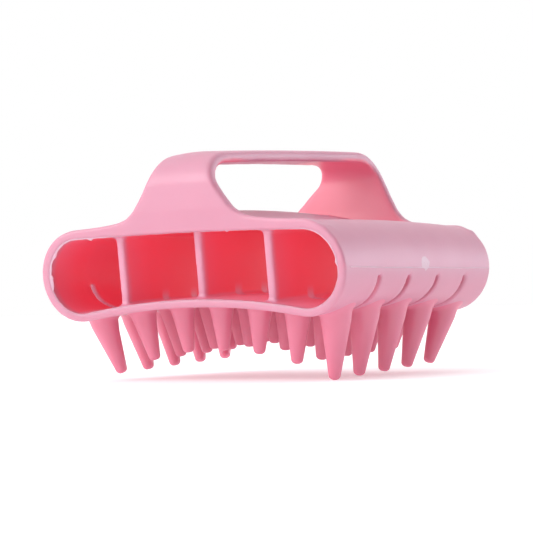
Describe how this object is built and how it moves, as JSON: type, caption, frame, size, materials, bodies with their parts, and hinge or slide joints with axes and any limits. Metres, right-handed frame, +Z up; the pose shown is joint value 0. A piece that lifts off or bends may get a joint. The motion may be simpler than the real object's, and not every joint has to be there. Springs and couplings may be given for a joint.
{
  "type": "scalp massager brush",
  "caption": "Hand-held scalp massager brush: hollow arched body open front to back, finger strap above, flexing blunt tines below.",
  "frame": {"origin": "under the middle of the brush, level with its lowest tine tips", "axes": "+X along the long side of the open front, +Y from the front opening to the back opening, +Z up through the finger strap"},
  "size_m": [0.1198, 0.11, 0.08],
  "materials": {
    "body_pink": "satin, slightly translucent soft moulded plastic",
    "strap_pink": "satin, slightly translucent soft moulded plastic",
    "tine_pink": "satin, slightly translucent soft moulded plastic"
  },
  "bodies": {
    "massager_body": {"upper_shell": "body_pink", "lower_shell": "body_pink", "divider_left": "body_pink", "divider_middle": "body_pink", "divider_right": "body_pink", "finger_strap": "strap_pink"},
    "row1_col1": {"tine_row1_col1": "tine_pink"},
    "row1_col2": {"tine_row1_col2": "tine_pink"},
    "row1_col3": {"tine_row1_col3": "tine_pink"},
    "row1_col4": {"tine_row1_col4": "tine_pink"},
    "row1_col5": {"tine_row1_col5": "tine_pink"},
    "row1_col6": {"tine_row1_col6": "tine_pink"},
    "row1_col7": {"tine_row1_col7": "tine_pink"},
    "row2_col1": {"tine_row2_col1": "tine_pink"},
    "row2_col2": {"tine_row2_col2": "tine_pink"},
    "row2_col3": {"tine_row2_col3": "tine_pink"},
    "row2_col4": {"tine_row2_col4": "tine_pink"},
    "row2_col5": {"tine_row2_col5": "tine_pink"},
    "row2_col6": {"tine_row2_col6": "tine_pink"},
    "row2_col7": {"tine_row2_col7": "tine_pink"},
    "row3_col1": {"tine_row3_col1": "tine_pink"},
    "row3_col2": {"tine_row3_col2": "tine_pink"},
    "row3_col3": {"tine_row3_col3": "tine_pink"},
    "row3_col4": {"tine_row3_col4": "tine_pink"},
    "row3_col5": {"tine_row3_col5": "tine_pink"},
    "row3_col6": {"tine_row3_col6": "tine_pink"},
    "row3_col7": {"tine_row3_col7": "tine_pink"},
    "row4_col1": {"tine_row4_col1": "tine_pink"},
    "row4_col2": {"tine_row4_col2": "tine_pink"},
    "row4_col3": {"tine_row4_col3": "tine_pink"},
    "row4_col4": {"tine_row4_col4": "tine_pink"},
    "row4_col5": {"tine_row4_col5": "tine_pink"},
    "row4_col6": {"tine_row4_col6": "tine_pink"},
    "row4_col7": {"tine_row4_col7": "tine_pink"},
    "row5_col1": {"tine_row5_col1": "tine_pink"},
    "row5_col2": {"tine_row5_col2": "tine_pink"},
    "row5_col3": {"tine_row5_col3": "tine_pink"},
    "row5_col4": {"tine_row5_col4": "tine_pink"},
    "row5_col5": {"tine_row5_col5": "tine_pink"},
    "row5_col6": {"tine_row5_col6": "tine_pink"},
    "row5_col7": {"tine_row5_col7": "tine_pink"}
  },
  "joints": [
    {"name": "bend_row1_col1", "type": "hinge", "parent": "massager_body", "child": "row1_col1", "pos_m": [-0.04678, -0.03622, 0.02051], "axis": [0, 1, 0], "range_deg": [-10, 10], "stiffness_Nm_per_rad": 0.3},
    {"name": "bend_row1_col2", "type": "hinge", "parent": "massager_body", "child": "row1_col2", "pos_m": [-0.03117, -0.03399, 0.02226], "axis": [0, 1, 0], "range_deg": [-10, 10], "stiffness_Nm_per_rad": 0.3},
    {"name": "bend_row1_col3", "type": "hinge", "parent": "massager_body", "child": "row1_col3", "pos_m": [-0.01558, -0.03266, 0.0237], "axis": [0, 1, 0], "range_deg": [-10, 10], "stiffness_Nm_per_rad": 0.3},
    {"name": "bend_row1_col4", "type": "hinge", "parent": "massager_body", "child": "row1_col4", "pos_m": [0, -0.03222, 0.02417], "axis": [0, 1, 0], "range_deg": [-10, 10], "stiffness_Nm_per_rad": 0.3},
    {"name": "bend_row1_col5", "type": "hinge", "parent": "massager_body", "child": "row1_col5", "pos_m": [0.01558, -0.03266, 0.02368], "axis": [0, 1, 0], "range_deg": [-10, 10], "stiffness_Nm_per_rad": 0.3},
    {"name": "bend_row1_col6", "type": "hinge", "parent": "massager_body", "child": "row1_col6", "pos_m": [0.03118, -0.034, 0.02221], "axis": [0, 1, 0], "range_deg": [-10, 10], "stiffness_Nm_per_rad": 0.3},
    {"name": "bend_row1_col7", "type": "hinge", "parent": "massager_body", "child": "row1_col7", "pos_m": [0.04679, -0.03624, 0.02044], "axis": [0, 1, 0], "range_deg": [-10, 10], "stiffness_Nm_per_rad": 0.3},
    {"name": "bend_row2_col1", "type": "hinge", "parent": "massager_body", "child": "row2_col1", "pos_m": [-0.04678, -0.01811, 0.02153], "axis": [0, 1, 0], "range_deg": [-10, 10], "stiffness_Nm_per_rad": 0.3},
    {"name": "bend_row2_col2", "type": "hinge", "parent": "massager_body", "child": "row2_col2", "pos_m": [-0.03117, -0.017, 0.02306], "axis": [0, 1, 0], "range_deg": [-10, 10], "stiffness_Nm_per_rad": 0.3},
    {"name": "bend_row2_col3", "type": "hinge", "parent": "massager_body", "child": "row2_col3", "pos_m": [-0.01558, -0.01633, 0.02436], "axis": [0, 1, 0], "range_deg": [-10, 10], "stiffness_Nm_per_rad": 0.3},
    {"name": "bend_row2_col4", "type": "hinge", "parent": "massager_body", "child": "row2_col4", "pos_m": [0, -0.01611, 0.02479], "axis": [0, 1, 0], "range_deg": [-10, 10], "stiffness_Nm_per_rad": 0.3},
    {"name": "bend_row2_col5", "type": "hinge", "parent": "massager_body", "child": "row2_col5", "pos_m": [0.01558, -0.01633, 0.02434], "axis": [0, 1, 0], "range_deg": [-10, 10], "stiffness_Nm_per_rad": 0.3},
    {"name": "bend_row2_col6", "type": "hinge", "parent": "massager_body", "child": "row2_col6", "pos_m": [0.03118, -0.017, 0.02302], "axis": [0, 1, 0], "range_deg": [-10, 10], "stiffness_Nm_per_rad": 0.3},
    {"name": "bend_row2_col7", "type": "hinge", "parent": "massager_body", "child": "row2_col7", "pos_m": [0.04679, -0.01812, 0.02146], "axis": [0, 1, 0], "range_deg": [-10, 10], "stiffness_Nm_per_rad": 0.3},
    {"name": "bend_row3_col1", "type": "hinge", "parent": "massager_body", "child": "row3_col1", "pos_m": [-0.04678, 0, 0.02189], "axis": [0, 1, 0], "range_deg": [-10, 10], "stiffness_Nm_per_rad": 0.3},
    {"name": "bend_row3_col2", "type": "hinge", "parent": "massager_body", "child": "row3_col2", "pos_m": [-0.03117, 0, 0.02335], "axis": [0, 1, 0], "range_deg": [-10, 10], "stiffness_Nm_per_rad": 0.3},
    {"name": "bend_row3_col3", "type": "hinge", "parent": "massager_body", "child": "row3_col3", "pos_m": [-0.01558, 0, 0.0246], "axis": [0, 1, 0], "range_deg": [-10, 10], "stiffness_Nm_per_rad": 0.3},
    {"name": "bend_row3_col4", "type": "hinge", "parent": "massager_body", "child": "row3_col4", "pos_m": [0, 0, 0.02501], "axis": [0, 1, 0], "range_deg": [-10, 10], "stiffness_Nm_per_rad": 0.3},
    {"name": "bend_row3_col5", "type": "hinge", "parent": "massager_body", "child": "row3_col5", "pos_m": [0.01558, 0, 0.02458], "axis": [0, 1, 0], "range_deg": [-10, 10], "stiffness_Nm_per_rad": 0.3},
    {"name": "bend_row3_col6", "type": "hinge", "parent": "massager_body", "child": "row3_col6", "pos_m": [0.03118, 0, 0.0233], "axis": [0, 1, 0], "range_deg": [-10, 10], "stiffness_Nm_per_rad": 0.3},
    {"name": "bend_row3_col7", "type": "hinge", "parent": "massager_body", "child": "row3_col7", "pos_m": [0.04679, 0, 0.02182], "axis": [0, 1, 0], "range_deg": [-10, 10], "stiffness_Nm_per_rad": 0.3},
    {"name": "bend_row4_col1", "type": "hinge", "parent": "massager_body", "child": "row4_col1", "pos_m": [-0.04677, 0.01811, 0.02158], "axis": [0, 1, 0], "range_deg": [-10, 10], "stiffness_Nm_per_rad": 0.3},
    {"name": "bend_row4_col2", "type": "hinge", "parent": "massager_body", "child": "row4_col2", "pos_m": [-0.03116, 0.01699, 0.02311], "axis": [0, 1, 0], "range_deg": [-10, 10], "stiffness_Nm_per_rad": 0.3},
    {"name": "bend_row4_col3", "type": "hinge", "parent": "massager_body", "child": "row4_col3", "pos_m": [-0.01558, 0.01633, 0.02441], "axis": [0, 1, 0], "range_deg": [-10, 10], "stiffness_Nm_per_rad": 0.3},
    {"name": "bend_row4_col4", "type": "hinge", "parent": "massager_body", "child": "row4_col4", "pos_m": [0, 0.01611, 0.02484], "axis": [0, 1, 0], "range_deg": [-10, 10], "stiffness_Nm_per_rad": 0.3},
    {"name": "bend_row4_col5", "type": "hinge", "parent": "massager_body", "child": "row4_col5", "pos_m": [0.01558, 0.01633, 0.02439], "axis": [0, 1, 0], "range_deg": [-10, 10], "stiffness_Nm_per_rad": 0.3},
    {"name": "bend_row4_col6", "type": "hinge", "parent": "massager_body", "child": "row4_col6", "pos_m": [0.03117, 0.017, 0.02306], "axis": [0, 1, 0], "range_deg": [-10, 10], "stiffness_Nm_per_rad": 0.3},
    {"name": "bend_row4_col7", "type": "hinge", "parent": "massager_body", "child": "row4_col7", "pos_m": [0.04678, 0.01812, 0.02151], "axis": [0, 1, 0], "range_deg": [-10, 10], "stiffness_Nm_per_rad": 0.3},
    {"name": "bend_row5_col1", "type": "hinge", "parent": "massager_body", "child": "row5_col1", "pos_m": [-0.04675, 0.03619, 0.0206], "axis": [0, 1, 0], "range_deg": [-10, 10], "stiffness_Nm_per_rad": 0.3},
    {"name": "bend_row5_col2", "type": "hinge", "parent": "massager_body", "child": "row5_col2", "pos_m": [-0.03115, 0.03397, 0.02236], "axis": [0, 1, 0], "range_deg": [-10, 10], "stiffness_Nm_per_rad": 0.3},
    {"name": "bend_row5_col3", "type": "hinge", "parent": "massager_body", "child": "row5_col3", "pos_m": [-0.01557, 0.03265, 0.0238], "axis": [0, 1, 0], "range_deg": [-10, 10], "stiffness_Nm_per_rad": 0.3},
    {"name": "bend_row5_col4", "type": "hinge", "parent": "massager_body", "child": "row5_col4", "pos_m": [0, 0.03221, 0.02426], "axis": [0, 1, 0], "range_deg": [-10, 10], "stiffness_Nm_per_rad": 0.3},
    {"name": "bend_row5_col5", "type": "hinge", "parent": "massager_body", "child": "row5_col5", "pos_m": [0.01557, 0.03265, 0.02377], "axis": [0, 1, 0], "range_deg": [-10, 10], "stiffness_Nm_per_rad": 0.3},
    {"name": "bend_row5_col6", "type": "hinge", "parent": "massager_body", "child": "row5_col6", "pos_m": [0.03116, 0.03398, 0.02231], "axis": [0, 1, 0], "range_deg": [-10, 10], "stiffness_Nm_per_rad": 0.3},
    {"name": "bend_row5_col7", "type": "hinge", "parent": "massager_body", "child": "row5_col7", "pos_m": [0.04677, 0.03622, 0.02053], "axis": [0, 1, 0], "range_deg": [-10, 10], "stiffness_Nm_per_rad": 0.3}
  ]
}
